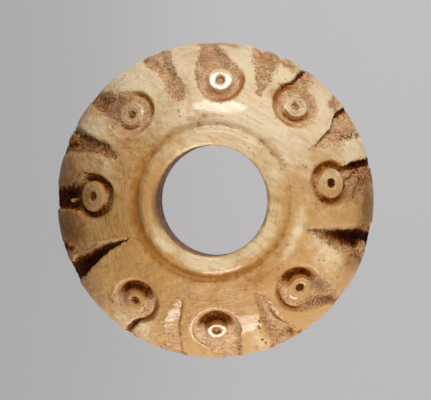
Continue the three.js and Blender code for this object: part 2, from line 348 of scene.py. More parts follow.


# Each knife cut, from its inner end to the rim: how far in from the rim, and the bearings of its two edges
# there. The slopes are shares of its width, deepest where they meet, and dark is the share of it that holds
# dirt and painted shade. Fade is the share over which the dirt and shade thin out at its low edge, and tip
# how much of them reaches its inner end. Ragged is how far its edges wander, and spill how far scratches and
# specks run past each.
cuts = {
    "eyeEast": {
        "stations": [(2.3, 12.4, 15.2), (1.9, 12.2, 15.4), (1.05, 12, 16.3), (0.2, 12.3, 15.8)],
        "slopes": (0.4, 0.35), "depth": 0.7, "dark": (0, 1), "dirt": 0.78, "rough": 0.7, "ragged": 0.1,
        "spill": (0.1, 0.3),
    },
    "eyeEastFloor": {
        "stations": [(2.3, 358.6, 372.5), (1.9, 358.6, 373), (1, 360.5, 373), (0.2, 365, 373)],
        "slopes": (0.6, 0.1), "depth": 0.16, "dark": (0.2, 1), "dirt": 0.28, "rough": 0.8, "ragged": 0.3,
        "spill": (0.6, 0),
    },
    "eyeNorthEast": {
        "stations": [(2.1, 58.2, 60.6), (1.6, 56.4, 58.4), (1.35, 55.3, 57.2), (0.4, 54.6, 56.4)],
        "slopes": (0.4, 0.4), "depth": 0.5, "dark": (0, 1), "dirt": 0.7, "rough": 0.5, "ragged": 0.1,
        "spill": (0, 0.3),
    },
    "eyeNorthEastFloor": {
        "stations": [(2.4, 40.5, 57), (1.76, 43.2, 57), (0.94, 51.5, 56)],
        "slopes": (0.35, 0.1), "depth": 0.14, "dark": (0, 1), "dirt": 0.12, "rough": 0.9, "ragged": 0.3,
        "spill": (0.35, 0),
    },
    "eyeNorth": {
        "stations": [
            (2.9, 77.5, 98.6), (2.4, 77.4, 98.7), (1.6, 80.4, 97.7), (0.84, 85.6, 95.7), (0.28, 89, 95.2),
        ],
        "slopes": (0.3, 0.16), "depth": 0.42, "dark": (0.75, 1), "dirt": 0.12, "rough": 0.9, "ragged": 0.07,
        "spill": (0.05, 0.05),
    },
    "eyeNorthWest": {
        "stations": [(2.9, 125, 143.2), (1.8, 126.6, 142.3), (1.15, 132, 142.4), (0.3, 136, 142.6)],
        "slopes": (0.4, 0.12), "depth": 0.5, "dark": (0.2, 1), "dirt": 0.3, "rough": 1, "ragged": 0.1,
        "spill": (0.15, 0.2),
    },
    "eyeWest": {
        "stations": [(2.8, 168, 187.5), (2, 168, 186), (1.2, 171, 184.8), (0.3, 173.2, 184)],
        "slopes": (0.45, 0.14), "depth": 0.85, "dark": (0.3, 0.94), "fade": 0.22, "dirt": 0.78, "rough": 0.8,
        "ragged": 0.22, "spill": (0.4, 0.25),
    },
    "eyeSouthWest": {
        "stations": [(2.3, 240.6, 243), (1.9, 239.4, 241.8), (1.26, 236, 238.9), (0.4, 234.9, 237.9)],
        "slopes": (0.45, 0.35), "depth": 0.55, "dark": (0, 0.9), "dirt": 0.48, "rough": 0.3, "ragged": 0.05,
        "spill": (0.1, 0),
    },
    "eyeSouth": {
        "stations": [(2.4, 263, 282.2), (1.5, 264, 281.3), (0.9, 268, 281), (0.14, 270, 280)],
        "slopes": (0.4, 0.1), "depth": 0.36, "dark": (0.8, 1), "dirt": 0.2, "rough": 0.9, "ragged": 0.09,
        "spill": (0, 0.1),
    },
    "eyeSouthEast": {
        "stations": [(2.75, 305.6, 327), (1.75, 305.8, 325.3), (1, 312, 323.8), (0.3, 318.6, 323.1)],
        "slopes": (0.35, 0.16), "depth": 0.5, "dark": (0.1, 0.5), "dirt": 0.25, "rough": 0.7, "ragged": 0.06,
        "spill": (0.15, 0.1),
    },
    "taperEast": {
        "stations": [(4, 27.5, 28.1), (2.9, 25.6, 29.4), (1.8, 24.2, 31.9), (0.75, 24, 36)],
        "slopes": (0.86, 0.05), "depth": 0.6, "dark": (0.9, 1), "dirt": 0.8, "rough": 1, "ragged": 0.1,
        "spill": (0.25, 0.1),
    },
    "taperNorthEast": {
        "stations": [(3.5, 66, 67.8), (2.75, 64.7, 69.4), (1.7, 64.7, 72.2), (0.8, 64.2, 75.4)],
        "slopes": (0.35, 0.3), "depth": 0.36, "dark": (0, 1), "dirt": 0.14, "rough": 0.9, "ragged": 0.22,
        "spill": (0.3, 0.3),
    },
    "taperNorth": {
        "stations": [
            (4.25, 106.4, 109.6), (3.95, 104.4, 111.8), (3.3, 103.2, 112.9), (2.4, 105.6, 112.9),
            (1.6, 106.4, 113.8), (0.7, 106.6, 117.6),
        ],
        "slopes": (0.36, 0.22), "depth": 0.42, "dark": (0.2, 1), "dirt": 0.14, "rough": 1, "ragged": 0.12,
        "spill": (0.1, 0.1),
    },
    "taperNorthWest": {
        "stations": [(4.3, 154.2, 158.2), (3.1, 151.6, 158.9), (1.8, 152, 160.3), (0.6, 152.2, 163.4)],
        "slopes": (0.2, 0.5), "depth": 0.5, "dark": (0, 0.86), "dirt": 0.33, "rough": 1, "tip": 0.95,
        "ragged": 0.12, "spill": (0.3, 0.15),
    },
    "taperWest": {
        "stations": [
            (5.5, 204.6, 205.3), (5.1, 203.1, 205.8), (4, 200.9, 206), (2.75, 199.1, 207.4),
            (0.75, 196.9, 210.9),
        ],
        "slopes": (0.66, 0.12), "depth": 0.85, "dark": (0.5, 0.96), "fade": 0.22, "dirt": 0.8, "rough": 0.9,
        "ragged": 0.12, "spill": (0.4, 0.05),
    },
    "taperSouthWest": {
        "stations": [
            (4.65, 251.4, 253.9), (4.4, 249.4, 254), (3.4, 248.4, 254.7), (2.2, 247.9, 255.4),
            (0.55, 248.3, 258.2),
        ],
        "slopes": (0.88, 0.08), "depth": 0.45, "dark": (0.94, 1), "dirt": 0.45, "rough": 0.2, "ragged": 0.06,
        "spill": (0.05, 0),
    },
    "taperSouth": {
        "stations": [(4.7, 295.2, 297.6), (3.55, 293.3, 298.9), (2.1, 291.6, 299.3), (0.58, 292, 303)],
        "slopes": (0.3, 0.3), "depth": 0.42, "dark": (0, 0.5), "dirt": 0.2, "rough": 0.55, "ragged": 0.14,
        "spill": (0.2, 0.1),
    },
    "taperSouthEast": {
        "stations": [(4.8, 342.8, 344), (3.3, 340.3, 347), (1.8, 339.2, 349.5), (0.5, 338, 351.8)],
        "slopes": (0.6, 0.24), "depth": 0.9, "dark": (0.42, 0.72), "fade": 0.4, "dirt": 1, "tip": 0.22,
        "rough": 0.8, "ragged": 0.1, "spill": (0.7, 0),
    },
}

# What the knife cuts share. A share across a cut runs from 0 at an edge to 1 on its floor, and a share along
# it from 0 at its inner end to 1 at the rim.
knife = {
    "swell": 0.95 * math.pi,  # deepest half way down, shallow at the rim
    "runOut": -25.0,  # where a cut ends below the rim, in degrees round the section
    "leastSlope": 0.08,
    "leastWidth": 0.05,
    "wideSlope": 0.3,  # a cut whose low slope is wider is already deep where it leaves its eye
    "startDepth": 0.45,
    "startAlong": 0.12,
    "depthToWidth": 0.9,  # no deeper than this share of its width
    "fade": 0.12,
    "darkEdge": 0.06,
    "dirtAndShadeAcross": (0.05, 0.5),
    "dirtAndShadeAlong": (0.1, 0.5),
    "tip": 0.6,
    "floorAcross": (0.02, 0.35),
    "rough": 0.05,
    "leastSpill": 0.01,
    "spillRough": 0.45,
}


def cutShape(cut, place, wander):
    # how deep the cut is at each point, how far inside its edges, where it is dark and where it spills over
    stations = sorted((turnAt(fromRim), low, high) for fromRim, low, high in cut["stations"])
    turns, lows, highs = (np.array(column) for column in zip(*stations))
    middle = lows.mean()
    bearing = middle + apart(place["bearing"], middle)
    low = np.interp(place["turn"], turns, lows)
    high = np.interp(place["turn"], turns, highs)
    perDegree = np.radians(1) * place["radius"]
    width = (high - low) * perDegree
    fromLow = (bearing - low) * perDegree + wander[0] * cut["ragged"]
    fromHigh = (high - bearing) * perDegree + wander[1] * cut["ragged"]
    lowSlope, highSlope = (np.maximum(width * share, knife["leastSlope"]) for share in cut["slopes"])
    across = np.clip(np.minimum(fromLow / lowSlope, fromHigh / highSlope), 0, 1)
    share = 1 - place["turn"] / turns[-1]
    onCut = (share >= 0) & place["onFlank"]
    aboveRim = place["turn"] >= 0
    fade = np.clip(1 - place["turn"] / knife["runOut"], 0, 1)
    swell = np.sin(np.clip(share, 0, 1) * knife["swell"])
    swell = np.where(aboveRim, swell, math.sin(knife["swell"]) * fade)
    start = smoothStep(share, 0, knife["startAlong"]) * knife["startDepth"]
    swell = np.maximum(swell, start * (lowSlope > knife["wideSlope"]) * aboveRim)
    depth = np.minimum(cut["depth"] * swell * across, np.maximum(width, 0) * knife["depthToWidth"])
    part = np.clip(fromLow / np.maximum(width, knife["leastWidth"]), 0, 1)
    darkLow, darkHigh = cut["dark"]
    dark = smoothStep(part, darkLow - cut.get("fade", knife["fade"]), darkLow + knife["darkEdge"])
    dark = dark * smoothStep(part, darkHigh + knife["fade"], darkHigh - knife["darkEdge"])
    tip = cut.get("tip", knife["tip"])
    dark = dark * smoothStep(across, *knife["dirtAndShadeAcross"])
    dark = dark * (tip + (1 - tip) * smoothStep(share, *knife["dirtAndShadeAlong"]))
    lowSpill, highSpill = (max(reach, knife["leastSpill"]) for reach in cut["spill"])
    spill = smoothStep(np.minimum(fromLow / lowSpill, fromHigh / highSpill), -1, 0)
    return depth * onCut, across * onCut * fade, dark * onCut * fade, spill * onCut * fade


# Chips at the rim, and stubs left standing in the cuts, which have a depth below 0: bearing, how far in from
# the rim, radius, depth
chips = [
    (23.6, 0.1, 0.42, 0.38), (27.5, 0.5, 0.4, -0.5), (32.5, 0.1, 0.5, 0.42), (39.4, 0.05, 0.5, 0.36),
    (35.8, 0.6, 0.3, 0.2), (65.6, 0, 0.5, 0.4), (69.5, 0.25, 0.5, -0.5), (73, 0, 0.5, 0.5),
    (77.5, 0.05, 0.35, 0.25), (81.4, 0, 0.45, 0.3), (85.4, 0, 0.9, 0.09), (89.4, 0, 0.95, 0.12),
    (93.8, 0, 0.9, 0.11), (117.4, 0.05, 0.55, 0.4), (112, 0.3, 0.5, -0.5), (107, 0, 0.4, 0.25),
    (122, 0, 0.4, 0.15), (152.2, 0, 0.45, 0.4), (157, 0.2, 0.6, -0.7), (162.8, 0.05, 0.45, 0.4),
    (183.8, 0, 0.4, 0.35), (180.2, 1.2, 0.2, -0.5), (196.4, 0.1, 0.5, 0.45), (201, 0.25, 0.6, -0.7),
    (204.4, 0.1, 0.3, 0.3), (210.4, 0.05, 0.4, 0.3), (226, 0, 0.5, 0.12), (232, 0, 0.4, 0.22),
    (238.4, 0.05, 0.4, 0.3), (243, 0, 0.5, 0.12), (248.2, 0.05, 0.5, 0.35), (252.2, 0.2, 0.5, -0.6),
    (257, 0.1, 0.6, 0.35), (263, 0, 0.4, 0.12), (275, 0, 0.5, 0.1), (285, 0, 0.5, 0.12),
    (292.6, 0.05, 0.45, 0.35), (297.6, 0.2, 0.7, -0.5), (303.4, 0.05, 0.5, 0.45), (308, 0, 0.5, 0.12),
    (325, 0, 0.4, 0.2), (338.2, 0.05, 0.45, 0.3), (342.8, 0.25, 0.5, -0.9), (350.6, 0, 0.4, 0.35),
    (12.6, 0, 0.3, 0.3), (56, 0, 0.35, 0.25),
]
chipping = {
    "shape": (1, 1, 0.42),  # chips stand taller than they are wide
    "ragged": 0.16,
    "floor": 0.55,  # a chip's flat part, as a share of its radius
    "uneven": 0.06,
    "rough": 0.7,
    "stubRise": 1.6,
}


def carveChips(points, place, fine, ragged, found):
    for bearing, fromRim, size, depth in chips:
        away = np.linalg.norm((points - onDome(fromRim, bearing)) * chipping["shape"], axis=1)
        away = away + chipping["ragged"] * ragged
        inside = smoothStep(away, size, size * chipping["floor"]) * place["onFlank"]
        if depth > 0:
            found["depth"] = np.maximum(found["depth"], inside * (depth + chipping["uneven"] * fine))
            found["rough"] = np.maximum(found["rough"], inside * chipping["rough"])
        else:
            found["depth"] = found["depth"] * np.clip(1 + depth * inside * chipping["stubRise"], 0, 1)
            found["dirt"] = found["dirt"] * (1 - inside)


# Hair cracks and scratches: how dark, how wide, and bearing and how far in from the rim along each
cracks = [
    (0.42, 0.04, [(25.2, 1.6), (26.4, 1.1), (28.4, 1.0), (29.6, 1.35), (31.0, 1.9)]),
    (0.4, 0.04, [(25.4, 1.0), (24.4, 0.6), (26.0, 0.35)]),
    (0.6, 0.05, [(1.5, 2.35), (5.0, 2.0), (8.4, 1.9), (10.6, 1.4), (12.4, 0.9)]),
    (0.55, 0.045, [(0.5, 1.5), (4.0, 1.45), (6.2, 1.0), (9.0, 0.85)]),
    (0.45, 0.04, [(290.8, 2.4), (289.6, 1.6), (289.2, 0.9), (290.4, 0.3)]),
    (0.35, 0.03, [(29.6, 5.3), (24.0, 5.0), (20.0, 4.7)]),
    (0.8, 0.06, [(172.0, 4.3), (170.6, 3.6), (169.6, 3.0), (170.4, 2.2)]),
    (0.5, 0.05, [(168.4, 3.4), (167.4, 2.6), (168.4, 1.8)]),
    (0.4, 0.04, [(221.0, 1.5), (223.4, 1.2), (226.0, 1.25)]),
    (0.35, 0.035, [(330.0, 3.2), (331.5, 2.6), (331.0, 2.0)]),
    (0.5, 0.045, [(297.4, 2.7), (298.6, 1.9), (301.0, 1.2)]),
]
crackShape = {"edges": (2.2, 0.6), "depth": 0.8, "ragged": 0.05}  # edges and depth are shares of its width


def carveCracks(place, wobble, found):
    # lines a few hundredths of a millimetre wide, measured on the view from above
    around = np.radians(place["bearing"])
    flat = place["radius"][:, None] * np.stack([np.cos(around), np.sin(around)], axis=1)
    for dark, width, line in cracks:
        corners = [onDome(fromRim, bearing)[:2] for bearing, fromRim in line]
        for start, end in zip(corners, corners[1:]):
            run = end - start
            share = np.clip((flat - start) @ run / (run @ run), 0, 1)
            away = np.linalg.norm(flat - start - share[:, None] * run, axis=1) + crackShape["ragged"] * wobble
            inside = smoothStep(away, *(edge * width for edge in crackShape["edges"])) * place["onFlank"]
            found["depth"] = found["depth"] + inside * width * crackShape["depth"]
            found["dirt"] = np.maximum(found["dirt"], inside * dark)


# Soft patches of colour: bearing, radius, spread in degrees, reach in millimetres, strength
# where the bone is stained
stains = [
    (0, 8.3, 16, 1.6, 0.22), (8, 6.4, 16, 0.6, 0.4), (20, 9.2, 2.5, 1.4, 0.4), (29, 11.9, 5, 0.5, 0.5),
    (35, 11.2, 2, 0.6, 0.4), (39, 12.1, 3, 0.6, 0.9), (40, 6.2, 20, 0.6, 0.55), (52, 11.9, 3, 0.9, 0.5),
    (61, 12.2, 7, 0.45, 0.9), (61.5, 9.6, 2.6, 0.8, 0.5), (70, 12.1, 3, 0.6, 1), (82, 12.3, 4, 0.4, 0.7),
    (93, 11.4, 3, 1.3, 0.5), (97, 6.5, 18, 0.5, 0.5), (113, 8.2, 14, 1.4, 0.2), (144, 8.4, 20, 0.8, 0.3),
    (167, 11.7, 13, 1.4, 0.75), (190, 11.8, 18, 1.9, 1), (200, 7.4, 40, 1.2, 0.25), (216, 11.9, 12, 1, 0.45),
    (262, 7.6, 20, 0.9, 0.3), (268, 8.2, 28, 1.6, 0.4), (284, 8.4, 8, 1.6, 0.4), (296, 9, 6, 2.2, 0.6),
    (303, 7, 22, 1.3, 0.62), (313, 11.8, 9, 1, 0.1), (320, 6.6, 16, 0.7, 0.4), (336, 11.8, 10, 1.2, 0.35),
    (345, 9.5, 8, 2.6, 0.3), (357, 12, 16, 0.8, 0.8),
]
# where it is paler than the rest: partly the bone's own paler tone, partly painted highlights, such as along
# the south side of the collar and on the south of the dome
paleAndHighlightPatches = [
    (20, 11.6, 5, 1, 0.7), (22, 7.6, 28, 2, 0.14), (36, 11.2, 9, 1.8, 0.9), (58, 11.8, 6, 1.2, 0.8),
    (75, 11.6, 6, 1.6, 0.9), (119, 11, 12, 2, 1), (148, 10.8, 6, 1.6, 0.7), (163, 9.6, 7, 1.2, 0.3),
    (165, 8.8, 12, 1.4, 0.4), (222, 4.95, 30, 0.8, 1.1), (227, 9.2, 30, 0.9, 0.4), (237, 8, 6, 0.7, 0.3),
    (237, 11.6, 14, 1.5, 0.85), (243, 11.5, 7, 1.7, 0.9), (251, 10.2, 3, 2.2, 0.9),
    (257, 11.6, 12, 1.4, 0.6), (262, 8.3, 12, 0.5, 0.25), (268, 4.95, 50, 0.8, 1.5),
    (268, 7.15, 26, 0.5, 0.5), (271, 9.4, 10, 1.2, 0.3), (285, 7.6, 8, 0.5, 0.2), (288, 11.4, 6, 1.6, 0.8),
    (325, 4.95, 30, 0.8, 0.9), (333, 9.6, 12, 2.2, 0.4), (335, 7.1, 30, 0.55, 0.7),
]
# where it is darker: grime in the carving, and painted shade on the west and east flanks and on the west of the
# bore, collar and groove
grimeAndShadePatches = [
    (3, 10.8, 6, 1.2, 0.5), (4, 8.6, 20, 1.6, 0.08), (5.4, 8.4, 3, 0.6, 0.2), (46.5, 9.7, 3.5, 0.6, 0.3),
    (133, 9.5, 9, 1.1, 0.4), (139, 11.4, 4, 1.5, 0.6), (150, 12.4, 12, 0.5, 0.5), (157, 11.4, 5.5, 2.4, 0.5),
    (166, 12.5, 14, 0.5, 0.8), (170, 12.2, 11, 1.3, 0.65), (171, 5.3, 20, 0.4, 0.3),
    (175, 10.9, 5, 1.4, 0.6), (178, 9.6, 9, 0.6, 0.4), (178, 10.1, 5, 0.9, 0.85), (184, 4.45, 34, 0.35, 0.9),
    (188, 8.2, 24, 1.4, 0.42), (190, 12.5, 24, 0.6, 1), (191, 12, 11, 2.2, 0.9), (196, 6, 36, 0.45, 0.62),
    (197, 11.9, 4, 1, 0.8), (199.6, 10.6, 3.2, 2.2, 0.7), (214, 12.2, 10, 0.8, 0.5),
    (215, 11.7, 9, 1.3, 0.3), (228, 8.6, 26, 1.6, 0.24), (229.5, 10.2, 4, 0.8, 0.6),
    (270, 8.2, 24, 0.9, 0.1), (271, 8.6, 24, 1.4, 0.12), (299, 12.1, 3.5, 0.7, 0.5),
    (321.5, 10.9, 4.2, 1.4, 0.6), (337, 12.1, 8, 1, 0.6), (341.5, 10.3, 3.2, 1.8, 0.55),
    (352, 10.4, 7, 1.6, 0.2), (356, 12.3, 15, 1.4, 0.8),
]
# where old dirt clings in specks
dustPatches = [
    (5, 10.9, 4, 1.2, 0.2), (26, 11.6, 2.4, 0.8, 0.24), (36, 5.75, 9, 0.25, 0.26), (44, 10, 2.2, 0.8, 0.14),
    (78, 6.4, 8, 0.3, 0.16), (97, 6.35, 10, 0.3, 0.2), (125, 6.5, 8, 0.3, 0.14), (134, 11.7, 4, 0.8, 0.2),
    (156, 12.2, 3, 0.5, 0.3), (158, 12.2, 4, 0.6, 0.5), (158, 6.4, 8, 0.3, 0.14),
    (169, 10.9, 3.2, 1.2, 0.22), (196, 6.1, 10, 0.3, 0.22), (198, 12, 1.6, 0.7, 0.6),
    (200, 10.6, 3, 2.2, 0.2), (204.6, 11.9, 1.6, 0.7, 0.6), (207.5, 12.2, 1.4, 0.5, 0.5),
    (216, 11.9, 2.4, 0.5, 0.16), (235, 6.2, 8, 0.3, 0.22), (252, 6.45, 7, 0.3, 0.22),
    (286, 12, 1.6, 0.5, 0.3), (291, 5.9, 9, 0.25, 0.24), (300.6, 12.1, 1.6, 0.5, 0.4),
    (309, 6.3, 6, 0.5, 0.18), (322, 10.9, 3.6, 1.3, 0.18), (338.5, 11.9, 3, 0.8, 0.4),
    (341.5, 10.2, 3.4, 2.2, 0.3), (350.6, 12.1, 1.6, 0.5, 0.4),
]
patchFall = 1.4  # how steeply a patch fades outwards

# Stain lies all along the groove, most of it towards one bearing. Inner and outer say how far from the collar
# it comes and goes, and below how far under the dome's lip it counts.
grooveStain = {"mean": 0.66, "swing": 0.5, "towards": 222, "inner": (-0.05, 0.3), "outer": (1.3, 0.4),
               "below": 1}
# the bore's wall is darkened: dirt, and painted shade where the wall lies in shadow inside the hole
boreDirtAndShade = {"wall": 0.36, "edges": (0.06, 0.01)}  # it ends where the collar starts to round over


def patched(patches, place):
    strongest = np.zeros(len(place["radius"]))
    for bearing, radius, spread, reach, strength in patches:
        far = (apart(place["bearing"], bearing) / spread) ** 2 + ((place["radius"] - radius) / reach) ** 2
        strongest = np.maximum(strongest, strength * np.exp(-far * patchFall))
    return strongest


def stained(points, place):
    # warm patches on the dome, and old dirt along the groove
    fromCollar = place["radius"] - collarRadius
    inGroove = smoothStep(fromCollar, *grooveStain["inner"]) * smoothStep(fromCollar, *grooveStain["outer"])
    inGroove = inGroove * (points[:, 2] > lipHeight - grooveStain["below"])
    around = grooveStain["swing"] * np.cos(np.radians(place["bearing"] - grooveStain["towards"]))
    return np.maximum(patched(stains, place), inGroove * (grooveStain["mean"] + around))


# The unevenness of the carving: the sizes of its lumps in millimetres, and how much of the fine and the broad
# ones each kind of surface shows
lumps = {"broad": 0.55, "fine": 0.2, "edge": 0.45, "fineOnEdge": 0.6, "broadOnFloor": 0.7}


def carve(points):
    place = outside(points)
    count = len(points)
    near = place["onFlank"]
    masks = ("depth", "rough", "dirt", "amber", "specks", "boss")
    found = {name: np.zeros(count) for name in masks}
    found["fromDot"] = np.full(count, farAway)
    broad, fine = np.zeros(count), np.zeros(count)
    edge = [np.zeros(count), np.zeros(count)]
    broad[near] = grain(points[near], lumps["broad"], 1)
    fine[near] = grain(points[near], lumps["fine"], 2)
    for side, seed in enumerate((3, 4)):
        edge[side][near] = grain(points[near], lumps["edge"], seed) + lumps["fineOnEdge"] * fine[near]
    for cut in cuts.values():
        depth, across, dark, spill = cutShape(cut, place, edge)
        floor = smoothStep(across, *knife["floorAcross"])
        depth = depth + floor * cut["rough"] * knife["rough"] * (fine + lumps["broadOnFloor"] * broad)
        found["depth"] = np.maximum(found["depth"], np.where(across > 0, depth, 0))
        roughHere = np.maximum(floor, spill * knife["spillRough"]) * cut["rough"]
        found["rough"] = np.maximum(found["rough"], roughHere)
        # the cut's dark band: dirt, and painted shade along its deep side
        found["dirt"] = np.maximum(found["dirt"], dark * cut["dirt"])
        found["specks"] = np.maximum(found["specks"], spill)
    carveChips(points, place, fine, edge[0], found)
    for eye in eyes.values():
        carveEye(eye, points, place, (fine, broad, drill["ragged"] * edge[1]), found)
    carveCracks(place, edge[1], found)
    found["stain"] = stained(points, place)
    # grime, and painted shade on the flanks that face away from the lamps
    found["grime"] = patched(grimeAndShadePatches, place)
    # paler bone, partly painted highlights
    found["pale"] = patched(paleAndHighlightPatches, place)
    # the bore's wall: dirt and painted shade
    inBore = smoothStep(place["radius"], *(whorl["boreRadius"] + past for past in boreDirtAndShade["edges"]))
    found["dirt"] = np.maximum(found["dirt"], inBore * boreDirtAndShade["wall"])
    found["dirt"] = np.maximum(found["dirt"], patched(dustPatches, place) * near)
    found["amber"] = np.clip(found["amber"], 0, 1)
    return found.pop("depth"), found, place


def meshPoints(shape):
    return np.array([v.co for v in shape.verts])


def refine(shape, wanted):
    # halves every side of the faces that touch a wanted edge
    shape.verts.ensure_lookup_table()
    shape.edges.ensure_lookup_table()
    ends = np.array([(e.verts[0].index, e.verts[1].index) for e in shape.edges])
    chosen = wanted(ends)
    faces = {f for e in np.flatnonzero(chosen) for f in shape.edges[e].link_faces}
    edges = list({e for f in faces for e in f.edges})
    bmesh.ops.subdivide_edges(shape, edges=edges, cuts=1, use_grid_fill=True)
    shape.verts.index_update()


def makeWhorl():
    shape = bmesh.new()
    loop = [shape.verts.new((radius, 0, height)) for radius, height in bodySection()]
    sides = [shape.edges.new(pair) for pair in zip(loop, loop[1:] + loop[:1])]
    bmesh.ops.spin(shape, geom=loop + sides, cent=(0, 0, 0), axis=(0, 0, 1), angle=2 * math.pi,
                   steps=whorl["segments"], use_merge=True)
    bmesh.ops.remove_doubles(shape, verts=shape.verts, dist=whorl["weld"])
    bmesh.ops.recalc_face_normals(shape, faces=shape.faces)
    shape.verts.index_update()
    print("turned body:", len(loop), "points round,", len(shape.faces), "faces")
    for limit in whorl["refineAbove"]:
        depth, masks = carve(meshPoints(shape))[:2]
        byDot = masks["fromDot"] < drill["fineWithin"]
        refine(shape, lambda ends: (np.abs(np.diff(depth[ends])[:, 0]) > limit) | byDot[ends].any(axis=1))
        print("refined where the carving is steeper than", limit, "mm:", len(shape.faces), "faces")
    points = meshPoints(shape)
    depth, masks, place = carve(points)
    stray = whorl["wander"] * (0.5 + 0.5 * grain(points, whorl["wanderSize"], 9)) * place["onFlank"]
    moved = points - place["normal"] * (depth + stray)[:, None]
    for vert, co in zip(shape.verts, moved):
        vert.co = Vector(co) * mm
    mesh = bpy.data.meshes.new("boneWhorl")
    shape.to_mesh(mesh)
    shape.free()
    for name, values in masks.items():
        mesh.attributes.new(name, "FLOAT", "POINT").data.foreach_set("value", values.astype(np.float32))
    for polygon in mesh.polygons:
        polygon.use_smooth = True
    piece = bpy.data.objects.new("boneWhorl", mesh)
    bpy.context.scene.collection.objects.link(piece)
    print("carved body:", sum(len(p.vertices) - 2 for p in mesh.polygons), "triangles")
    return piece


# Materials

class Flow:
    # a socket that can be added, multiplied and so on
    def __init__(self, finish, socket):
        self.finish, self.socket = finish, socket

    def __add__(self, other):
        return self.finish.maths("ADD", self, other)

    def __radd__(self, other):
        return self.finish.maths("ADD", other, self)

    def __sub__(self, other):
        return self.finish.maths("SUBTRACT", self, other)

    def __rsub__(self, other):
        return self.finish.maths("SUBTRACT", other, self)

    def __mul__(self, other):
        return self.finish.maths("MULTIPLY", self, other)

    def __rmul__(self, other):
        return self.finish.maths("MULTIPLY", other, self)

    def between(self, low, high):
        # 0 at low, 1 at high, smooth between
        return self.finish.add("MapRange", {"interpolation_type": "SMOOTHSTEP"}, {0: self, 1: low, 2: high})


class Finish:
    # one material; every node comes from add()
    def __init__(self, name):
        self.material = bpy.data.materials.new(name)
        self.material.use_nodes = True
        self.tree = self.material.node_tree
        self.tree.nodes.clear()

    def add(self, kind, settings=None, inputs=None, output=0):
        node = self.tree.nodes.new("ShaderNode" + kind)
        for key, value in (settings or {}).items():
            if key == "stops":
                self.setStops(node.color_ramp.elements, value)
            else:
                setattr(node, key, value)
        for key, value in (inputs or {}).items():
            if isinstance(value, Flow):
                self.tree.links.new(value.socket, node.inputs[key])
            else:
                node.inputs[key].default_value = value
        return Flow(self, node.outputs[output]) if node.outputs else node

    def setStops(self, elements, stops):
        for position, colour in stops[1:-1]:
            elements.new(position)
        for element, (position, colour) in zip(elements, stops):
            element.position, element.color = position, colour

    def mask(self, name):
        return self.add("Attribute", {"attribute_name": name}, output="Fac")

    def noise(self, where, size, detail=2.0, rough=0.5):
        # noise with features of that size in millimetres
        inputs = {"Vector": where, "Scale": 1 / (size * mm), "Detail": detail, "Roughness": rough}
        return self.add("TexNoise", None, inputs)

    def maths(self, operation, *values):
        return self.add("Math", {"operation": operation}, dict(enumerate(values)))

    def blend(self, factor, first, second):
        return self.add("Mix", {"data_type": "RGBA"}, {0: factor, 6: first, 7: second}, 2)

    def bump(self, height, distance, normal=None):
        inputs = {"Strength": 1.0, "Distance": distance * mm, "Height": height}
        if normal:
            inputs["Normal"] = normal
        return self.add("Bump", None, inputs)

    def shader(self, inputs):
        return self.add("BsdfPrincipled", None, inputs)

    def surface(self, shader):
        self.add("OutputMaterial", None, {"Surface": shader})
        return self.material


bone = {
    "cream": (0.83, 0.645, 0.39, 1),
    "honey": (0.585, 0.325, 0.112, 1),
    "stain": (0.40, 0.158, 0.018, 1),
    "grime": (0.13, 0.064, 0.02, 1),
    "amber": (0.43, 0.15, 0.015, 1),
    "floor": (0.41, 0.225, 0.095, 1),
    "floorPale": (0.80, 0.50, 0.265, 1),
    "pore": (0.20, 0.08, 0.025, 1),
    "speck": (0.21, 0.085, 0.02, 1),
}
# dirt and painted shade, from thin to thick
dirtAndShadeStops = [(0.0, (0.45, 0.22, 0.07, 1)), (0.3, (0.27, 0.085, 0.012, 1)), (0.6, (0.11, 0.024, 0.002, 1)),
             (1.0, (0.014, 0.003, 0.0006, 1))]
litSideAndPaleTowards = (0.375, 0.927, 0)  # the bone is painted palest facing this way, towards the north lamps: partly its own pale tone, partly painted light
marks = {"dashes": 0.75, "dust": 0.7, "clusters": 0.5, "pores": 0.72, "stainedFloor": 0.6, "grime": 0.85}
# features of the bone, by their size in millimetres, and how deep some of them are
featureSize = {"cloud": 5, "patch": 1.5, "rings": 1.3, "mottle": 0.6, "streaks": 0.5, "grainy": 0.3,
               "gritty": 0.16, "hairs": 0.1}
featureDepth = {"rings": 0.16, "patch": 0.1, "streaks": 0.08, "grainy": 0.08, "gritty": 0.03}
turning = {"around": 3, "across": 8}  # turning lines are drawn out round the bore and squeezed across it
boneGrain = {"bearing": -28, "stretch": 4.0}


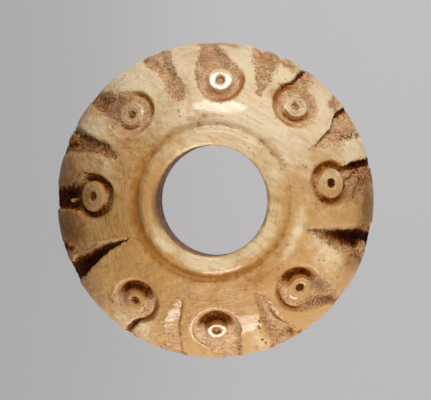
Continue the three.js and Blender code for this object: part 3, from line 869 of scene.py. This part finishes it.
def boneFinish():
    f = Finish("carvedBone")
    where = f.add("TexCoord", output="Object")
    rough, dirt, amber = f.mask("rough"), f.mask("dirt"), f.mask("amber")
    specks, stain, paleAndHighlitMask, grime = f.mask("specks"), f.mask("stain"), f.mask("pale"), f.mask("grime")
    boss, fromDot = f.mask("boss"), f.mask("fromDot")
    # fine lines left by turning, round the bore
    flat = f.add("VectorMath", {"operation": "MULTIPLY"}, {0: where, 1: (1, 1, 0)})
    radius = f.add("VectorMath", {"operation": "LENGTH"}, {0: flat}, "Value")
    heading = f.add("VectorMath", {"operation": "NORMALIZE"}, {0: flat})
    litSideAndPale = f.add("VectorMath", {"operation": "DOT_PRODUCT"}, {0: heading, 1: litSideAndPaleTowards}, "Value")
    heading = f.add("VectorMath", {"operation": "SCALE"}, {0: heading, "Scale": turning["around"] * mm})
    outwards = f.add("CombineXYZ", None, {2: radius * turning["across"]})
    turned = f.add("VectorMath", {"operation": "ADD"}, {0: heading, 1: outwards})
    rings = f.noise(turned, featureSize["rings"], 2, 0.6)
    # the grain of the bone runs one way
    grainWay = f.add("Mapping", {"vector_type": "TEXTURE"}, {
        "Vector": where, "Rotation": (0, 0, math.radians(boneGrain["bearing"])),
        "Scale": (boneGrain["stretch"], 1.0, 1.0),
    })
    streaks = f.noise(grainWay, featureSize["streaks"], 3, 0.6)
    hairs = f.noise(grainWay, featureSize["hairs"], 2, 0.5)
    cloud = f.noise(where, featureSize["cloud"], 2)
    patch = f.noise(where, featureSize["patch"], 3, 0.6)
    mottle = f.noise(where, featureSize["mottle"], 2, 0.6)
    grainy = f.noise(where, featureSize["grainy"], 3, 0.7)
    gritty = f.noise(where, featureSize["gritty"], 2, 0.6)
    # palest to the north: painted light on the side that faces the lamps, added to paler patches and painted
    # highlights; warmer round the rest
    uneven = (cloud - 0.5) * 1.4 + (patch - 0.5) * 1.0 + (streaks - 0.5) * 1.3
    pale = (litSideAndPale * 0.6 + paleAndHighlitMask * 1.1 + uneven).between(-0.1, 0.9)
    colour = f.blend(pale, bone["honey"], bone["cream"])
    stainHere = stain * (0.35 + patch * 1.3) + (mottle - 0.5) * stain * 1.8 + (streaks - 0.5) * 0.4
    stainHere = stainHere.between(0.05, 1.0)
    colour = f.blend(stainHere, colour, bone["stain"])
    # dark dashes along the grain, then specks of dust, which gather by the carving and in the stain
    dashes = (mottle + (patch - 0.5) * 0.4 + specks * 0.08 + stain * 0.14).between(0.52, 0.66)
    colour = f.blend(hairs.between(0.6, 0.68) * dashes * marks["dashes"], colour, bone["speck"])
    clusters = (stain + (mottle - 0.5) * 2.6 + (patch - 0.5) * 1.8).between(0.42, 0.9)
    clusters = clusters * stain.between(0, 0.25)
    dust = (gritty + specks * 0.14 + (mottle - 0.5) * 0.5).between(0.64, 0.74)
    dust = dust * f.maths("MAXIMUM", specks.between(0.05, 0.6), clusters)
    colour = f.blend(dust * marks["dust"], colour, bone["speck"])
    colour = f.blend(clusters * grainy.between(0.4, 0.62) * marks["clusters"], colour, bone["amber"])
    # the rough floors of the cuts and rings
    floorPale = (grainy * 0.4 + mottle * 0.6 + patch * 0.3 + paleAndHighlitMask * 0.12).between(0.46, 0.82)
    floor = f.blend(floorPale, bone["floor"], bone["floorPale"])
    floor = f.blend(stainHere * marks["stainedFloor"], floor, bone["stain"])
    pores = (gritty * 0.6 + grainy * 0.5 + dirt * 0.3 + specks * 0.03).between(0.57, 0.69)
    floor = f.blend(pores * marks["pores"], floor, bone["pore"])
    colour = f.blend((rough + (grainy - 0.5) * 0.8).between(0.3, 0.7), colour, floor)
    colour = f.blend(amber * (0.66 + mottle * 0.5), colour, bone["amber"])
    # dirt and painted shade lie unevenly, and break up into grains at their edges
    breakUp = (grainy - 0.5) * 0.8 + (gritty - 0.5) * 0.5
    dirtAndShadeHere = dirt * (0.5 + mottle * 0.9) + breakUp * dirt.between(0, 0.3)
    tone = f.add("ValToRGB", {"stops": dirtAndShadeStops}, {0: dirtAndShadeHere})
    polished = (1 - rough.between(0, 0.9)) * (1 - dirt.between(0.3, 0.8)) * (1 - stain * 0.5) * (1 - amber)
    gloss = 0.3 + patch * 0.1 + rings * 0.1 + rough * 0.2 + dirt * 0.15
    # the drill left fine circles round each dot
    circles = f.maths("SINE", fromDot * (2 * math.pi / drill["circleStep"])) * boss
    normal = f.bump(rings * polished * patch.between(0.3, 0.6), featureDepth["rings"])
    normal = f.bump(circles, drill["circleDepth"], normal)
    normal = f.bump(streaks * polished, featureDepth["streaks"], normal)
    normal = f.bump(grainy * rough, featureDepth["grainy"], normal)
    normal = f.bump(gritty * rough, featureDepth["gritty"], normal)
    normal = f.bump(patch, featureDepth["patch"], normal)
    bared = f.shader({
        "Base Color": colour, "Roughness": gloss, "IOR": 1.5, "Specular IOR Level": 0.25, "Normal": normal,
        "Coat Weight": polished * (0.44 + boss * 0.56) + 0.03, "Coat Roughness": 0.1,
        "Subsurface Weight": 0.3, "Subsurface Radius": (1.0, 0.45, 0.2), "Subsurface Scale": 0.6 * mm,
    })
    thick = dirtAndShadeHere.between(0.12, 0.42)
    # grime, and painted shade on the west and east flanks, darken the bone towards olive-brown
    grimeAndShadeHere = grime * (0.9 + uneven * 0.4 + (mottle - 0.5) * 0.5)
    tone = f.blend(grimeAndShadeHere.between(0, 0.5) * (1 - thick), tone, bone["grime"])
    # the dark, matt surface of dirt and painted shade
    dirtyAndShaded = f.shader({"Base Color": tone, "Roughness": 0.85, "Specular IOR Level": 0.05, "Normal": normal})
    soiledAndShaded = f.maths("MAXIMUM", thick, grimeAndShadeHere * marks["grime"])
    return f.surface(f.add("MixShader", None, {0: soiledAndShaded, 1: bared, 2: dirtyAndShaded}))


# Studio: the camera's lens in millimetres and its distance in metres, how many degrees it leans from straight
# above, and the pale floor, whose glow changes across the picture
studio = {
    "lens": 741, "distance": 0.7, "aimHeight": 3.0, "tiltEast": 2.5, "tiltNorth": 0.5, "clipEnd": 20,
    "skyColour": (0.9, 0.92, 0.95, 1), "skyStrength": 0.07, "lightDistance": 0.6,
    "floorSize": 3.0, "floorGlow": 1.0, "floorReach": 34, "floorTurn": 0.62, "floorShade": 0.055,
    "floorWest": (0.40, 0.392, 0.394, 1), "floorEast": (0.508, 0.497, 0.5, 1),
}
# each lamp: its bearing and elevation, its width and height, its power and its colour
lamps = {
    "northSoftbox": (68, 43, (0.8, 0.6), 2.45, (1, 1, 1)),
    "northLamp": (88, 41, (0.27, 0.1), 1.2, (1, 1, 1)),
    "southSoftbox": (294, 46, (0.9, 0.5), 1.1, (1, 0.98, 0.95)),
    "southLamp": (277, 10, (0.4, 0.24), 3.3, (1, 0.97, 0.93)),
}


def floorFinish():
    f = Finish("paleFloor")
    where = f.add("TexCoord", output="Object")
    # the floor glows instead of being lit: painted light, darker to the west and lighter to the east, with
    # painted shade towards the south-east
    perReach = 1 / (studio["floorReach"] * mm)
    east, north = (f.add("SeparateXYZ", None, {0: where}, axis) * perReach for axis in "XY")
    eastern = (east + 0.5).between(0, studio["floorTurn"])
    southern = (0.5 - north).between(0, 1)
    glow = f.blend(eastern, studio["floorWest"], studio["floorEast"])
    glow = f.blend(southern * eastern * studio["floorShade"], glow, (0, 0, 0, 1))
    return f.surface(f.shader({
        "Base Color": (0.02, 0.02, 0.02, 1), "Roughness": 0.9, "Specular IOR Level": 0.1,
        "Emission Color": glow, "Emission Strength": studio["floorGlow"],
    }))


def makeFloor():
    shape = bmesh.new()
    bmesh.ops.create_grid(shape, x_segments=1, y_segments=1, size=studio["floorSize"] / 2)
    mesh = bpy.data.meshes.new("floor")
    shape.to_mesh(mesh)
    shape.free()
    floor = bpy.data.objects.new("floor", mesh)
    mesh.materials.append(floorFinish())
    bpy.context.scene.collection.objects.link(floor)


def aimed(item, place, target, up):
    back = (Vector(place) - Vector(target)).normalized()
    right = Vector(up).cross(back).normalized()
    turned = Matrix((right, back.cross(right), back)).transposed().to_4x4()
    item.matrix_world = Matrix.Translation(place) @ turned


def makeCamera():
    camera = bpy.data.objects.new("camera", bpy.data.cameras.new("camera"))
    camera.data.lens = studio["lens"]
    camera.data.clip_end = studio["clipEnd"]
    target = Vector((0, 0, studio["aimHeight"] * mm))
    east, north = math.sin(math.radians(studio["tiltEast"])), math.sin(math.radians(studio["tiltNorth"]))
    back = Vector((east, north, math.sqrt(1 - east * east - north * north)))
    aimed(camera, target + back * studio["distance"], target, (0, 1, 0))
    bpy.context.scene.collection.objects.link(camera)
    bpy.context.scene.camera = camera


def makeLamp(name, bearing, elevation, size, power, colour):
    light = bpy.data.lights.new(name, "AREA")
    light.shape = "ELLIPSE"
    light.size, light.size_y = size
    light.energy = power
    light.color = colour
    item = bpy.data.objects.new(name, light)
    around, up = math.radians(bearing), math.radians(elevation)
    heading = Vector((math.cos(around) * math.cos(up), math.sin(around) * math.cos(up), math.sin(up)))
    aimed(item, heading * studio["lightDistance"], (0, 0, 0), (0, 0, 1))
    bpy.context.scene.collection.objects.link(item)


def makeStudio():
    scene = bpy.context.scene
    scene.view_settings.view_transform = "Standard"
    world = bpy.data.worlds.new("studio")
    world.use_nodes = True
    sky = world.node_tree.nodes["Background"].inputs
    sky["Color"].default_value = studio["skyColour"]
    sky["Strength"].default_value = studio["skyStrength"]
    scene.world = world
    for name, lamp in lamps.items():
        makeLamp(name, *lamp)
    makeFloor()
    makeCamera()
    print("studio:", len(lamps), "lamps, floor and camera")


makeStudio()
whorlPiece = makeWhorl()
whorlPiece.data.materials.append(boneFinish())
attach(whorlPiece, "root")
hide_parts("spindle_whorl")
print("pieces done")
